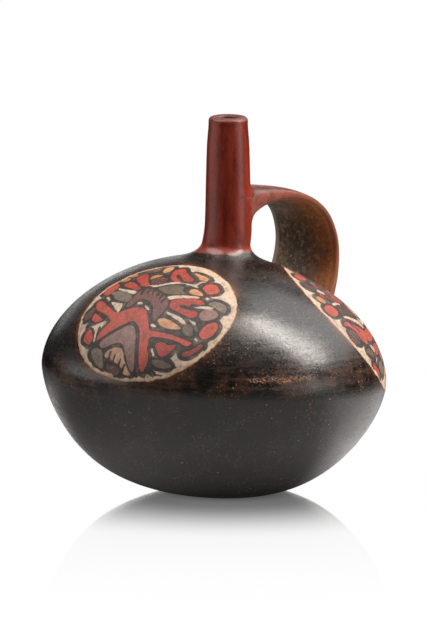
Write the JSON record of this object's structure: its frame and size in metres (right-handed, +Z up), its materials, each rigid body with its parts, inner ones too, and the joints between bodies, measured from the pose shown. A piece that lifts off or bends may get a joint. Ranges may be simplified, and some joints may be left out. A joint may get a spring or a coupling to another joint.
{
  "type": "spout and strap handle bottle",
  "caption": "Hollow lens-shaped pottery bottle with a slim upright spout, a flat strap handle behind it and round painted panels on a burnished black body.",
  "frame": {"origin": "on the flat of the base, on the spout's own axis", "axes": "+Z up along the spout, +Y from the spout towards the strap handle, -Y the front"},
  "size_m": [0.1801, 0.1803, 0.1976],
  "materials": {
    "fired_clay": "burnished"
  },
  "bodies": {
    "root": {"vessel": "fired_clay"}
  },
  "joints": []
}
